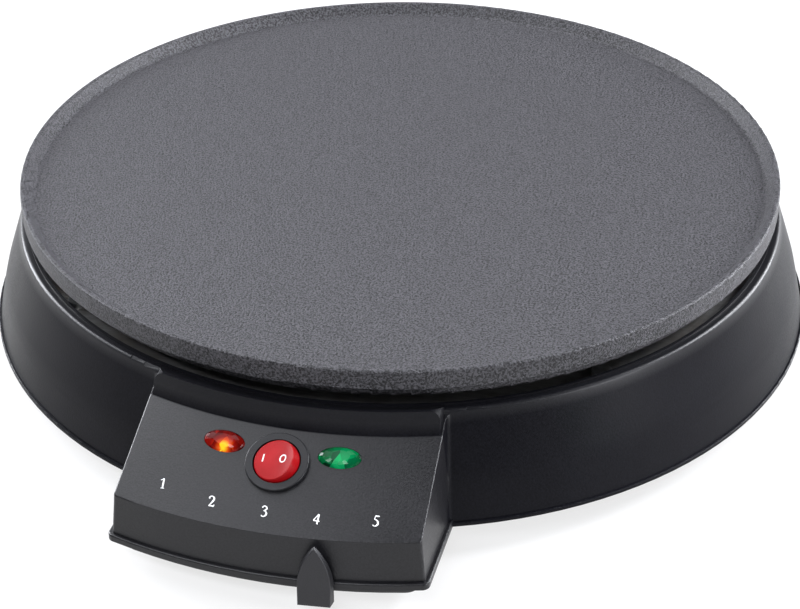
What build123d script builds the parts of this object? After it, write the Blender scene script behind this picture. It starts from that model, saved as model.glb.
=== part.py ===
from build123d import *
from math import asin, atan, cos, degrees, hypot, radians, sin, sqrt, tan
import os

# Electric crepe maker: a round cast griddle plate on a flared plastic base, with a sloping
# control panel at the front. Millimetres, +Z up, panel towards -Y. Every piece is drawn
# about the plate's axis and set down at the end with the footprint's middle at the origin.
# "Bearing" is an angle about the plate's axis, counted from the front towards +X.

# ---- griddle plate -----------------------------------------------------------------------
plate_radius = 150.0        # outer edge
plate_edge_height = 8.3     # visible side face
plate_floor = 4.1           # metal under the cooking surface
lip_land = 1.8              # flat top of the raised lip
lip_slope_width = 3.6       # slope from the lip down to the cooking surface
lip_corner = 2.4            # round at the foot of that slope
lip_round = 0.7             # both edges of the lip's top
side_round = 1.0            # lower edge of the side face
step_inset = 3.8            # recessed step under the side face
step_height = 4.9
step_width = 6.0
step_round = 1.8            # lower edge of the step
plate_boss_radius = 5.5
plate_boss_height = 7.5
plate_boss_inset = 32.0     # the four fixing bosses, in from the plate's edge
boss_screw_depth = 9.5

# ---- skirt of the housing ----------------------------------------------------------------
skirt_height = 41.5
throat_inset = 2.8          # how much smaller the opening under the plate is than the plate
crest_width = 3.8           # from that opening to the outer surface, before the crest is rounded
skirt_flare = 11.9          # how far the outer surface leans out down to the bottom
shoulder_height = 17.4      # from the bottom up to where it starts to lean further in
shoulder_out = 8.0          # its radius there, outside the top
shoulder_round = 100.0
crest_round = 1.6
bead_width = 1.2            # thin bead round the opening, on the crest
bead_height = 0.6
lip_out = 0.7               # thin bead round the bottom edge
lip_height = 1.4
housing_wall = 2.5
ledge_drop = 6.3            # from the crest down to the ledge that carries the heat shield
ledge_width = 14.2
plate_gap = 7.4             # air gap between the crest and the plate's flat underside

# ---- control panel -----------------------------------------------------------------------
panel_slope = 0.5           # fall of the face per millimetre of radius
panel_setback = 7.9         # back edge of the face, outside the skirt's top
panel_back_drop = 5.1       # back edge of the face, below the crest
panel_depth = 35.8          # back edge to front edge, along the radius
panel_half_width = 56.4     # at the bottom; the sides lean inwards
panel_draft = 5.0
panel_front_lean = 1.4      # how much further out the front wall stands at its foot
riser_lean = 2.9            # how far the short wall behind the face leans back
riser_rise = 3.0            # its top edge, above the crest
riser_land = 1.2            # flat top of that wall, before it falls back to the crest
riser_inset = 1.0           # its ends, inside the panel's sides
riser_corner = 3.4
flange_out = 1.3            # rim round the foot of the panel
flange_height = 2.5
flange_corner = 3.0
panel_corner = 1.6
panel_edge = 0.7
panel_root = 2.5            # hollow round where its sides run into the skirt

# ---- bottom cover and feet ---------------------------------------------------------------
foot_height = 5.8
foot_radius = 8.5
foot_taper = 6.0
foot_stem_radius = 3.0
cover_drop = 5.0            # how far the cover hangs below the skirt
cover_wall = 2.0
cover_rise = 2.2            # its rim stands this far up inside the skirt
cover_lean = 10.0           # how much smaller its floor is than its rim
cover_fit = 0.5
cover_corner = 6.0
cup_radius = 6.3            # raised cups that sink the screw heads
cup_height = 3.0
vent_count = 12
vent_length = 24.0
vent_width = 3.2
vent_reach = 62.0
base_screw_inset = 22.9      # in from the skirt's foot
base_screw_bearings = (60.0, 110.0, 160.0, 200.0, 250.0, 300.0)
panel_screw_side = 46.0     # the two screws under the panel, to each side of the middle
panel_screw_inset = 8.9      # behind the back edge of the panel's face
foot_bearings = (28.0, 135.0, 225.0, 332.0)
foot_inset = 2.0            # from the edge of the cover's floor
foot_head_radius = 3.9

# ---- heater ------------------------------------------------------------------------------
element_inset = 55.0        # the element's circle, in from the plate's edge
element_radius = 3.3
element_gap_half = 8.0      # half the angle left open between the element's two ends
element_bend = 8.0
element_leg_end = 36.0      # height at which the ends stop
element_seat = 0.15
rib_width = 2.5
rib_height = 5.4
shield_gauge = 0.8
shield_floor_drop = 6.0     # dish floor, below its seated rim
shield_dish_inset = 21.2    # the dish's floor ends this far inside the throat
shield_dish_lean = 4.0
shield_edge_gap = 1.2
shield_hole_radius = 27.0
shield_screw_inset = 6.2
spacer_radius = 4.5

# ---- thermostat and its lever ------------------------------------------------------------
thermostat_length = 38.0
thermostat_width = 24.0
thermostat_height = 11.0
thermostat_seat = 0.4
bush_radius = 5.0
bush_length = 9.0
spindle_radius = 3.0
spindle_bottom = 14.4
spindle_inside = 6.0
bracket_gauge = 1.0
bracket_width = 14.0
bracket_reach = 32.0        # screw to screw, halved
bracket_boss_height = 4.0
hub_radius = 8.0
hub_height = 5.0
arm_width = 12.0
arm_gauge = 2.0
arm_joggle_inset = 8.9      # where the arm starts down, behind the back edge of the panel's face
arm_joggle_length = 24.0
arm_floor_gap = 0.6         # over the cover's floor at the front
arm_tongue_width = 7.0
arm_tongue_length = 3.0     # inside the knob
knob_gap = 0.4              # between the flange and the knob
knob_half_width = 6.3
knob_thickness = 4.6
knob_tip_thickness = 1.2
knob_bottom = 5.6
knob_shoulder = 12.5        # height where the pointed arch starts
knob_tip = 28.6
knob_taper = 9.0
knob_edge = 0.4
setting_step = 5.86         # angle between two numbers on the panel
setting_count = 5
rest_setting = 4

# ---- switch and lamps --------------------------------------------------------------------
switch_inset = 12.1         # the switch's centre, out from the back edge of the panel's face
collar_radius = 11.2
collar_height = 1.6
barrel_radius = 9.9
barrel_depth = 17.0
rocker_ball = 8.1           # the rocker's edge is part of a ball about its pivot
rocker_gap = 0.35
rocker_tilt = 14.0          # each way from level
rocker_rise = 2.45          # its dished top over the pivot, at the middle
rocker_pivot_depth = 1.6    # pivot below the collar's top
rocker_edge = 0.4
rocker_pin_radius = 1.0
rocker_pin_length = 1.0
rocker_belly = 3.2          # its flat underside below the pivot
stem_radius = 1.5
stem_length = 7.0           # from the pivot down to the stem's tip
contact_drop = 8.0          # see-saw contact below the rocker's pivot
contact_length = 11.0
contact_width = 4.0
contact_gauge = 0.6
contact_share = 0.6         # the contact tips this much of the rocker's angle
tab_width = 4.8
tab_gauge = 0.8
tab_length = 7.0
lens_inset = 8.0            # the lenses' centres, out from the same edge
lens_side = 20.7            # and to each side of the middle
lens_length = 15.0
lens_width = 8.2
lens_proud = 1.7
lens_skirt = 5.0
lens_fit = 0.12
lens_flange = 0.9
lens_crown = 0.62           # size of the lens's flat crown, as a share of the lens
lamp_radius = 2.6
lamp_length = 9.0
holder_wall = 1.0

# ---- wiring ------------------------------------------------------------------------------
block_length = 30.0
block_width = 16.0
block_height = 12.0
gland_height = 25.0         # centre of the cord hole above the table
gland_bore = 3.6
gland_barrel = 6.0
gland_flange = 9.5
gland_flange_gauge = 2.4
gland_nose = 5.0
gland_collar_gauge = 1.6
gland_edge = 1.2
pad_radius = 11.5
pad_proud = 2.0             # how far the gland's flat pad stands out of the skirt
lead_radius = 1.2
lamp_lead_radius = 0.6
lead_level = 28.0           # height of the main runs, under the heat shield
switch_lead_level = 24.0
lead_side = 20.0            # how far the switch's feed passes beside the spindle
lead_entry = 8.0            # straight ends of the leads at the block and the switch
lead_bend = 6.0
bend_share = 0.45           # a bend takes at most this much of the shorter run beside it
end_bead = 1.0              # how much fatter the element's ceramic ends are than its sheath
end_length = 4.0
pin_radius = 1.2
pin_length = 6.0
fuse_radius = 2.2
fuse_length = 12.0
fuse_place = (30.0, 50.0)
clip_width = 7.0
clip_foot = 4.0
tag_radius = 4.6            # ring tag on the end of the earth lead
tag_gauge = 0.8
earth_bearing = 160.0       # the earth screw, on the circle of the plate's bosses

# ---- fasteners and fits ------------------------------------------------------------------
screw_radius = 1.95
screw_head_radius = 3.7
screw_head_height = 2.4
boss_radius = 4.5
panel_boss_radius = 3.4
fit = 0.05                  # radial play of a screw or pin in its hole
clear = 0.3                 # air between pieces that only lie near each other
barrel_play = 0.1

# ---- levels and places that follow from the sizes above ----------------------------------
cover_bottom = foot_height
cover_floor = cover_bottom + cover_wall
skirt_bottom = cover_bottom + cover_drop
throat_radius = plate_radius - throat_inset
skirt_top_radius = throat_radius + crest_width
skirt_foot_radius = skirt_top_radius + skirt_flare
panel_back_radius = skirt_top_radius + panel_setback
riser_radius = panel_back_radius - riser_lean
shoulder_radius = skirt_top_radius + shoulder_out
plate_boss_ring = plate_radius - plate_boss_inset
element_ring = plate_radius - element_inset
shield_dish_radius = throat_radius - shield_dish_inset
shield_screw_ring = throat_radius - shield_screw_inset
base_screw_ring = skirt_foot_radius - base_screw_inset
panel_screw_reach = panel_back_radius - panel_screw_inset
arm_joggle_start = panel_back_radius - arm_joggle_inset
arm_joggle_end = arm_joggle_start + arm_joggle_length
switch_reach = panel_back_radius + switch_inset
lens_reach = panel_back_radius + lens_inset
lens_bearing = degrees(asin(lens_side / lens_reach))
skirt_top = skirt_bottom + skirt_height
shoulder_level = skirt_bottom + shoulder_height
plate_under = skirt_top + plate_gap
rim_top = plate_under + plate_edge_height
cooking_level = plate_under + plate_floor
ledge_top = skirt_top - ledge_drop
ledge_under = ledge_top - housing_wall
ledge_inner = throat_radius - ledge_width
shield_floor = ledge_top - shield_floor_drop
panel_back_z = skirt_top - panel_back_drop
panel_front_radius = panel_back_radius + panel_depth
panel_foot_radius = panel_front_radius + panel_front_lean
flange_radius = panel_foot_radius + flange_out
cover_front = panel_foot_radius - housing_wall - cover_fit
cover_top = skirt_bottom + cover_rise
cover_half_width = panel_half_width - housing_wall - cover_fit
cover_rim_radius = skirt_foot_radius - housing_wall - cover_fit - lip_out
cover_floor_radius = cover_rim_radius - cover_lean
half_span = setting_step * (setting_count - 1) / 2
rest_bearing = setting_step * rest_setting - setting_step * (setting_count + 1) / 2
slope_angle = degrees(atan(panel_slope))
element_level = plate_under - element_seat - element_radius
bracket_floor = plate_under - thermostat_seat - thermostat_height - bracket_gauge
ear_level = plate_under - bracket_boss_height - bracket_gauge
lever_swing = Location((0, 0, 0), (0, 0, rest_bearing))


def skirt_radius(height):
    """Outer radius of the skirt at a height above the table, as if its shoulder were sharp."""
    if height < shoulder_level:
        lean = (skirt_foot_radius - shoulder_radius) / shoulder_height
    else:
        lean = shoulder_out / (skirt_top - shoulder_level)
    return shoulder_radius - lean * (height - shoulder_level)


def face_height(radius):
    """Height of the panel's sloping face at a distance from the plate's axis."""
    return panel_back_z - panel_slope * (radius - panel_back_radius)


def face_plane(bearing, radius, lift=0.0):
    """Plane on the sloping face: X across, Y up the slope, Z out of the face."""
    turn = radians(bearing)
    outward = Vector(panel_slope * sin(turn), -panel_slope * cos(turn), 1).normalized()
    point = Vector(radius * sin(turn), -radius * cos(turn), face_height(radius))
    return Plane(origin=point + outward * lift, x_dir=(cos(turn), sin(turn), 0), z_dir=outward)


def around(radius, bearings):
    """Places on a circle about the plate's axis, one for each bearing from the front."""
    return Locations(*[(radius * sin(radians(b)), -radius * cos(radians(b))) for b in bearings])


def at_rest(plane):
    """The plane swung about the plate's axis to the lever's resting number."""
    return Plane(lever_swing * plane.location)


def ring(points, mode=Mode.ADD):
    """Turn a closed outline about the plate's axis: (radius, height), or with a corner's round."""
    with BuildSketch(Plane.XZ) as section:
        with BuildLine():
            Polyline(*[point[:2] for point in points], close=True)
        make_face()
        for radius, height, *corner_round in points:
            for size in corner_round:
                corner = Vector(radius, height)
                fillet(section.vertices().sort_by_distance(corner)[0], size)
    revolve(section.sketch, axis=Axis.Z, mode=mode)


def front_block(half_width, reach, level, height, draft=0.0):
    """Upright block across the front, from behind the skirt out past the panel."""
    middle = (reach + ledge_inner) / 2
    with BuildSketch(Plane.XY.offset(level)) as section:
        with Locations((0, -middle)):
            Rectangle(2 * half_width, reach - ledge_inner)
    extrude(section.sketch, amount=height, taper=draft)


def pegs(places, radius, bottom, top, mode=Mode.ADD):
    """Upright round pegs or holes between two heights."""
    with BuildSketch(Plane.XY.offset(bottom)) as section:
        with places:
            Circle(radius)
    extrude(section.sketch, amount=top - bottom, mode=mode)


# ---- places shared by several pieces -----------------------------------------------------
head_seat = cover_bottom + cup_height
cup_top = head_seat + cover_wall
foot_ring = cover_floor_radius - foot_radius - foot_inset
shield_boss_foot = ledge_under - 2 * housing_wall
base_screw_places = around(base_screw_ring, base_screw_bearings)
panel_screw_places = Locations(
    (-panel_screw_side, -panel_screw_reach), (panel_screw_side, -panel_screw_reach)
)
shield_screw_places = around(shield_screw_ring, (45, 135, 225, 315))
foot_places = around(foot_ring, foot_bearings)
earth_place = around(plate_boss_ring, (earth_bearing,))
block_y = (ledge_inner + skirt_radius(ledge_under) - housing_wall) / 2
block_screw_places = Locations((-block_length / 6, block_y), (block_length / 6, block_y))

# ---- griddle plate -----------------------------------------------------------------------
step_outer = plate_radius - step_inset
step_inner = step_outer - step_width
slope_top = plate_radius - lip_land
slope_foot = slope_top - lip_slope_width
plate_boss_places = around(plate_boss_ring, (0, 90, 180, 270))
bracket_places = Locations((-bracket_reach, 0), (bracket_reach, 0))
boss_foot = plate_under - plate_boss_height

with BuildPart() as griddle_plate:
    ring(
        [
            (0, plate_under),
            (step_inner, plate_under),
            (step_inner, plate_under - step_height),
            (step_outer, plate_under - step_height, step_round),
            (step_outer, plate_under),
            (plate_radius, plate_under, side_round),
            (plate_radius, rim_top, lip_round),
            (slope_top, rim_top, lip_round),
            (slope_foot, cooking_level, lip_corner),
            (0, cooking_level),
        ]
    )
    for channel_side in (-1, 1):
        edge = element_ring + channel_side * (element_radius + clear)
        outer = edge + channel_side * rib_width
        ring([(edge, plate_under), (outer, plate_under), (outer, plate_under - rib_height),
              (edge, plate_under - rib_height)])
    pegs(plate_boss_places, plate_boss_radius, boss_foot, plate_under)
    pegs(bracket_places, plate_boss_radius, plate_under - bracket_boss_height, plate_under)
    pegs(plate_boss_places, screw_radius + fit, boss_foot, boss_foot + boss_screw_depth, Mode.SUBTRACT)
    pegs(bracket_places, screw_radius + fit, plate_under - bracket_boss_height,
         plate_under + plate_floor / 2, Mode.SUBTRACT)
griddle_plate.part.label = "griddle_plate"

# ---- housing: flared skirt, throat and ledge, with the control panel in one moulding -----
roof_drop = housing_wall / cos(radians(slope_angle))
riser_top = skirt_top + riser_rise
cavity_front = panel_front_radius - housing_wall
roof_radius = panel_back_radius + (panel_back_z - roof_drop - ledge_under) / panel_slope
pad_face = skirt_radius(gland_height) + pad_proud
through = 3 * housing_wall  # deeper than any wall that a hole goes through

with BuildPart() as panel_block:
    front_block(panel_half_width, panel_foot_radius + panel_depth, skirt_bottom, skirt_height, panel_draft)
    with BuildSketch(Plane.XZ):
        with BuildLine():
            Polyline(
                (ledge_inner, skirt_bottom),
                (panel_foot_radius, skirt_bottom),
                (panel_front_radius, face_height(panel_front_radius)),
                (skirt_top_radius, face_height(skirt_top_radius)),
                (skirt_top_radius, ledge_top),
                (ledge_inner, ledge_top),
                close=True,
            )
        make_face()
    revolve(axis=Axis.Z, mode=Mode.INTERSECT)
    fillet(panel_block.edges().filter_by(GeomType.ELLIPSE).sort_by(Axis.Y)[:2], panel_corner)

with BuildPart() as panel_riser:
    with BuildSketch(Plane.XZ) as riser_outline:
        with Locations((0, (skirt_bottom + riser_top) / 2)):
            Trapezoid(2 * (panel_half_width - riser_inset), riser_top - skirt_bottom, 90 - panel_draft)
        fillet(riser_outline.vertices().group_by(Axis.Y)[-1], riser_corner)
    extrude(amount=panel_foot_radius)
    with BuildSketch(Plane.XZ):
        with BuildLine():
            Polyline(
                (panel_back_radius, ledge_top),
                (panel_back_radius, panel_back_z),
                (riser_radius, riser_top),
                (riser_radius - riser_land, riser_top),
                (throat_radius + bead_width + clear, skirt_top),
                (throat_radius + bead_width + clear, ledge_top),
                close=True,
            )
        make_face()
    revolve(axis=Axis.Z, mode=Mode.INTERSECT)

with BuildPart() as panel_cavity:
    front_block(panel_half_width - housing_wall, panel_foot_radius + panel_depth, skirt_bottom,
                skirt_height, panel_draft)
    with BuildSketch(Plane.XZ):
        with BuildLine():
            Polyline(
                (ledge_inner, skirt_bottom),
                (panel_foot_radius - housing_wall, skirt_bottom),
                (cavity_front, face_height(cavity_front) - roof_drop),
                (roof_radius, ledge_under),
                (ledge_inner, ledge_under),
                close=True,
            )
        make_face()
    revolve(axis=Axis.Z, mode=Mode.INTERSECT)

with BuildPart() as panel_flange:
    with BuildSketch(Plane.XY.offset(skirt_bottom)) as flange_outline:
        Circle(flange_radius)
        with Locations((0, -flange_radius)):
            Rectangle(2 * (panel_half_width + flange_out), 2 * (flange_radius - throat_radius),
                      mode=Mode.INTERSECT)
        fillet(flange_outline.vertices().group_by(Axis.Y)[0], flange_corner)
    extrude(amount=flange_height)
    fillet(panel_flange.faces().sort_by(Axis.Z)[-1].edges(), panel_edge)


def skirt_skin(height):
    """Inner radius of the skirt's wall at a height above the table."""
    return skirt_radius(height) - housing_wall


lip_top = skirt_bottom + lip_height
with BuildPart() as housing:
    ring(
        [
            (ledge_inner, skirt_bottom),
            (skirt_foot_radius, skirt_bottom),
            (shoulder_radius, shoulder_level, shoulder_round),
            (skirt_top_radius, skirt_top, crest_round),
            (throat_radius + bead_width, skirt_top),
            (throat_radius + bead_width, skirt_top + bead_height),
            (throat_radius, skirt_top + bead_height),
            (throat_radius, ledge_top),
            (ledge_inner, ledge_top),
        ]
    )
    add(panel_block.part)
    panel_sides = housing.faces().filter_by(GeomType.PLANE).filter_by(
        lambda face: abs(face.normal_at().X) > cos(radians(2 * panel_draft)))
    roots = panel_sides.edges().filter_by(
        lambda edge: hypot(edge.center().X, edge.center().Y) < skirt_foot_radius
        and skirt_bottom < edge.center().Z)
    fillet(roots, panel_root)
    sloping_face = housing.faces().sort_by_distance(face_plane(0, switch_reach).origin)[0]
    face_back = (0, -skirt_top_radius, face_height(skirt_top_radius))
    fillet(sloping_face.edges().sort_by_distance(face_back)[1:], panel_edge)
    ring(
        [
            (skirt_skin(lip_top), skirt_bottom),
            (skirt_foot_radius + lip_out, skirt_bottom),
            (skirt_foot_radius + lip_out, lip_top, lip_out / 2),
            (skirt_skin(lip_top), lip_top),
        ]
    )
    add(panel_riser.part)
    add(panel_flange.part)
    with BuildSketch(Plane.XZ.offset(-pad_face)):
        with Locations((0, gland_height)):
            Circle(pad_radius)
    extrude(amount=pad_face - skirt_skin(gland_height) + housing_wall)
    ring(
        [
            (ledge_inner - clear, skirt_bottom - clear),
            (skirt_skin(skirt_bottom - clear), skirt_bottom - clear),
            (skirt_skin(shoulder_level), shoulder_level),
            (skirt_skin(ledge_under), ledge_under),
            (ledge_inner - clear, ledge_under),
        ],
        Mode.SUBTRACT,
    )
    add(panel_cavity.part, mode=Mode.SUBTRACT)
    pegs(base_screw_places, boss_radius, cup_top, ledge_under)
    pegs(panel_screw_places, panel_boss_radius, cup_top, ledge_under)
    pegs(shield_screw_places, boss_radius, shield_boss_foot, ledge_under)
    pegs(base_screw_places, screw_radius + fit, cup_top, cup_top + boss_screw_depth, Mode.SUBTRACT)
    pegs(panel_screw_places, screw_radius + fit, cup_top, cup_top + boss_screw_depth, Mode.SUBTRACT)
    pegs(shield_screw_places, screw_radius + fit, shield_boss_foot + housing_wall, ledge_top,
         Mode.SUBTRACT)
    pegs(block_screw_places, screw_radius + fit, ledge_under, ledge_top - clear, Mode.SUBTRACT)
    with BuildSketch(face_plane(0, switch_reach, housing_wall)):
        Circle(barrel_radius + barrel_play)
    extrude(amount=-through, mode=Mode.SUBTRACT)
    for side in (-1, 1):
        with BuildSketch(face_plane(side * lens_bearing, lens_reach, housing_wall)):
            Ellipse(lens_length / 2 + lens_fit, lens_width / 2 + lens_fit)
        extrude(amount=-through, mode=Mode.SUBTRACT)
    with BuildSketch(Plane.XZ.offset(-pad_face)):
        with Locations((0, gland_height)):
            Circle(gland_barrel + fit)
    extrude(amount=through, mode=Mode.SUBTRACT)
housing.part.label = "housing"

# ---- bottom cover with its sunk screw cups, vents and the lever's slot --------------------
arm_level = cover_floor + arm_floor_gap
tongue_start = cover_front - cover_wall - arm_width / 2
slot_half = half_span + degrees((arm_tongue_width / 2 + 2 * arm_floor_gap) / tongue_start)

with BuildPart() as base_cover:
    ring([(0, cover_bottom), (cover_floor_radius, cover_bottom),
          (cover_rim_radius, cover_top), (0, cover_top)])
    with BuildSketch(Plane.XY.offset(cover_bottom)) as cover_outline:
        Circle(cover_front)
        with Locations((0, -cover_front)):
            Rectangle(2 * cover_half_width, 2 * cover_front, mode=Mode.INTERSECT)
        fillet(cover_outline.vertices().group_by(Axis.Y)[0], cover_corner)
    extrude(amount=cover_top - cover_bottom)
    bottom_edges = base_cover.edges().group_by(Axis.Z)[0]
    fillet(bottom_edges.filter_by(lambda edge: edge.center().Y < -cover_floor_radius), cover_wall / 2)
    ring([(0, cover_floor), (cover_floor_radius - cover_wall, cover_floor),
          (cover_rim_radius - cover_wall, cover_top), (0, cover_top)], Mode.SUBTRACT)
    with BuildSketch(Plane.XY.offset(cover_floor)) as hollow_outline:
        Circle(cover_front - cover_wall)
        with Locations((0, -cover_front)):
            Rectangle(2 * (cover_half_width - cover_wall), 2 * cover_front, mode=Mode.INTERSECT)
        fillet(hollow_outline.vertices().group_by(Axis.Y)[0], cover_corner - cover_wall)
    extrude(amount=cover_top - cover_floor, mode=Mode.SUBTRACT)
    pegs(base_screw_places, cup_radius, cover_bottom, cup_top)
    pegs(panel_screw_places, cup_radius, cover_bottom, cup_top)
    pegs(base_screw_places, screw_head_radius + clear, cover_bottom, head_seat, Mode.SUBTRACT)
    pegs(panel_screw_places, screw_head_radius + clear, cover_bottom, head_seat, Mode.SUBTRACT)
    pegs(base_screw_places, screw_radius + fit, cover_bottom, cup_top, Mode.SUBTRACT)
    pegs(panel_screw_places, screw_radius + fit, cover_bottom, cup_top, Mode.SUBTRACT)
    pegs(foot_places, foot_stem_radius + fit, cover_bottom, cover_floor, Mode.SUBTRACT)
    with BuildSketch(Plane.XY.offset(cover_bottom)):
        with PolarLocations(vent_reach, vent_count):
            SlotOverall(vent_length, vent_width)
    extrude(amount=cover_wall, mode=Mode.SUBTRACT)
    with BuildSketch(Plane.XY.offset(cover_floor)):
        with BuildLine():
            slot_side = 2 * cover_front * sin(radians(slot_half))
            slot_end = -2 * cover_front * cos(radians(slot_half))
            Polyline((0, 0), (slot_side, slot_end), (-slot_side, slot_end), close=True)
        make_face()
    extrude(amount=cover_top - cover_floor, mode=Mode.SUBTRACT)
base_cover.part.label = "base_cover"

with BuildPart() as base_screws:
    for places in (base_screw_places, panel_screw_places):
        pegs(places, screw_head_radius, head_seat - screw_head_height, head_seat)
        pegs(places, screw_radius, head_seat - screw_head_height / 2, cup_top + boss_screw_depth - clear)
base_screws.part.label = "base_screws"

with BuildPart() as rubber_feet:
    with BuildSketch(Plane.XY.offset(cover_bottom)):
        with foot_places:
            Circle(foot_radius)
    extrude(amount=-foot_height, taper=foot_taper)
    fillet(rubber_feet.edges().group_by(Axis.Z)[0], cover_wall / 2)
    pegs(foot_places, foot_stem_radius, cover_bottom, cover_floor)
    pegs(foot_places, foot_head_radius, cover_floor, cover_floor + cover_wall)
rubber_feet.part.label = "rubber_feet"

# ---- heating element: a sheathed ring whose two ends turn down at the back ----------------
end_angle = degrees(element_bend / element_ring)
first_bearing = 180 + element_gap_half + end_angle
last_bearing = 540 - element_gap_half - end_angle


def ring_point(bearing, sink=0.0, along=0.0):
    """Point on the element's circle, sunk below it and moved along the tangent."""
    turn = radians(bearing)
    return Vector(
        element_ring * sin(turn) + along * cos(turn),
        -element_ring * cos(turn) + along * sin(turn),
        element_level - sink,
    )


bend_mid = element_bend * (1 - cos(radians(45)))
with BuildPart() as heating_element:
    with BuildLine() as element_path:
        start_end = ring_point(first_bearing, element_bend, -element_bend)
        last_end = ring_point(last_bearing, element_bend, element_bend)
        leg_drop = element_level - element_bend - element_leg_end
        Line(start_end - Vector(0, 0, leg_drop), start_end)
        ThreePointArc(start_end, ring_point(first_bearing, bend_mid, bend_mid - element_bend),
                      ring_point(first_bearing))
        ThreePointArc(ring_point(first_bearing), ring_point(360), ring_point(last_bearing))
        ThreePointArc(ring_point(last_bearing), ring_point(last_bearing, bend_mid, element_bend - bend_mid),
                      last_end)
        Line(last_end, last_end - Vector(0, 0, leg_drop))
    element_wire = element_path.wires()[0]
    with BuildSketch(Plane(origin=element_wire @ 0, z_dir=element_wire % 0)):
        Circle(element_radius)
    sweep(path=element_wire)
heating_element.part.label = "heating_element"
leg_places = Locations((start_end.X, start_end.Y), (last_end.X, last_end.Y))

with BuildPart() as element_ends:
    pegs(leg_places, element_radius + end_bead, element_leg_end - end_length, element_leg_end)
    pegs(leg_places, pin_radius, element_leg_end - end_length - pin_length, element_leg_end - end_length)
element_ends.part.label = "element_ends"

# ---- heat shield, and the spacers and screws that hang it and the plate together ----------
shield_top = shield_floor + shield_gauge
dish_top = shield_dish_radius + shield_dish_lean
with BuildPart() as heat_shield:
    ring(
        [
            (shield_hole_radius, shield_floor),
            (shield_dish_radius, shield_floor),
            (dish_top, ledge_top),
            (throat_radius - shield_edge_gap, ledge_top),
            (throat_radius - shield_edge_gap, ledge_top + shield_gauge),
            (dish_top - shield_gauge / 2, ledge_top + shield_gauge),
            (shield_dish_radius - shield_gauge / 2, shield_top),
            (shield_hole_radius, shield_top),
        ]
    )
    pegs(plate_boss_places, screw_radius + fit, shield_floor, shield_top, Mode.SUBTRACT)
    pegs(shield_screw_places, screw_radius + fit, ledge_top, ledge_top + shield_gauge, Mode.SUBTRACT)
    pegs(leg_places, element_radius + 2 * clear, shield_floor, shield_top, Mode.SUBTRACT)
    pegs(earth_place, screw_radius + fit, shield_floor, shield_top, Mode.SUBTRACT)
heat_shield.part.label = "heat_shield"

with BuildPart() as plate_spacers:
    pegs(plate_boss_places, spacer_radius, shield_top, boss_foot)
    pegs(plate_boss_places, screw_radius + fit, shield_top, boss_foot, Mode.SUBTRACT)
plate_spacers.part.label = "plate_spacers"

with BuildPart() as plate_screws:
    pegs(plate_boss_places, screw_head_radius, shield_floor - screw_head_height, shield_floor)
    pegs(plate_boss_places, screw_radius, shield_floor - screw_head_height / 2,
         boss_foot + boss_screw_depth - clear)
plate_screws.part.label = "plate_screws"

with BuildPart() as shield_screws:
    rim_level = ledge_top + shield_gauge
    pegs(shield_screw_places, screw_head_radius, rim_level, rim_level + screw_head_height)
    pegs(shield_screw_places, screw_radius, shield_boss_foot + housing_wall + clear,
         rim_level + screw_head_height / 2)
shield_screws.part.label = "shield_screws"

# ---- thermostat: pressed up to the plate by a bracket, its spindle pointing down ----------
body_foot = bracket_floor + bracket_gauge
body_top = body_foot + thermostat_height
leg_inner = thermostat_length / 2 + clear
leg_outer = leg_inner + bracket_gauge
ear_end = bracket_reach + plate_boss_radius
ear_top = ear_level + bracket_gauge
spindle_top = body_foot + spindle_inside
hub_top = spindle_bottom + hub_height

with BuildPart() as thermostat_bracket:
    with BuildSketch(Plane.XZ):
        with BuildLine():
            Polyline(
                (0, bracket_floor),
                (leg_outer, bracket_floor),
                (leg_outer, ear_level),
                (ear_end, ear_level),
                (ear_end, ear_top),
                (leg_inner, ear_top),
                (leg_inner, body_foot),
                (0, body_foot),
                close=True,
            )
        make_face()
        mirror(about=Plane.YZ)
    extrude(amount=bracket_width / 2, both=True)
    pegs(Locations((0, 0)), bush_radius + clear, bracket_floor, body_foot, Mode.SUBTRACT)
    pegs(bracket_places, screw_radius + fit, ear_level, ear_top, Mode.SUBTRACT)
thermostat_bracket.part.label = "thermostat_bracket"

with BuildPart() as bracket_screws:
    pegs(bracket_places, screw_head_radius, ear_level - screw_head_height, ear_level)
    pegs(bracket_places, screw_radius, ear_level - screw_head_height / 2,
         plate_under + plate_floor / 2 - clear)
bracket_screws.part.label = "bracket_screws"

with BuildPart() as thermostat_body:
    with BuildSketch(Plane.XY.offset(body_foot)):
        RectangleRounded(thermostat_length, thermostat_width, 3 * bracket_gauge)
    extrude(amount=thermostat_height)
    pegs(Locations((0, 0)), bush_radius, body_foot - bush_length, body_foot)
    pegs(Locations((0, 0)), spindle_radius + fit, body_foot - bush_length, spindle_top + clear,
         Mode.SUBTRACT)
thermostat_body.part.label = "thermostat_body"

blade_side = thermostat_length / 4
blade_reach = (thermostat_width + bracket_width) / 4
with BuildPart() as thermostat_blades:
    with BuildSketch(Plane.XY.offset(body_foot)):
        with Locations((-blade_side, -blade_reach), (blade_side, blade_reach)):
            Rectangle(tab_width, tab_gauge)
    extrude(amount=-tab_length)
thermostat_blades.part.label = "thermostat_blades"

# ---- temperature lever: spindle, bent arm, screw and knob move as one ---------------------
with BuildPart() as thermostat_spindle:
    pegs(Locations((0, 0)), spindle_radius, spindle_bottom, spindle_top)
    pegs(Locations((0, 0)), lead_radius + fit, spindle_bottom, spindle_bottom + boss_screw_depth,
         Mode.SUBTRACT)
thermostat_spindle.part.label = "thermostat_spindle"

with BuildPart() as lever_screw:
    pegs(Locations((0, 0)), spindle_radius + lead_radius, spindle_bottom - arm_gauge, spindle_bottom)
    pegs(Locations((0, 0)), lead_radius, spindle_bottom - arm_gauge / 2, hub_top)
lever_screw.part.label = "lever_screw"

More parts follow.
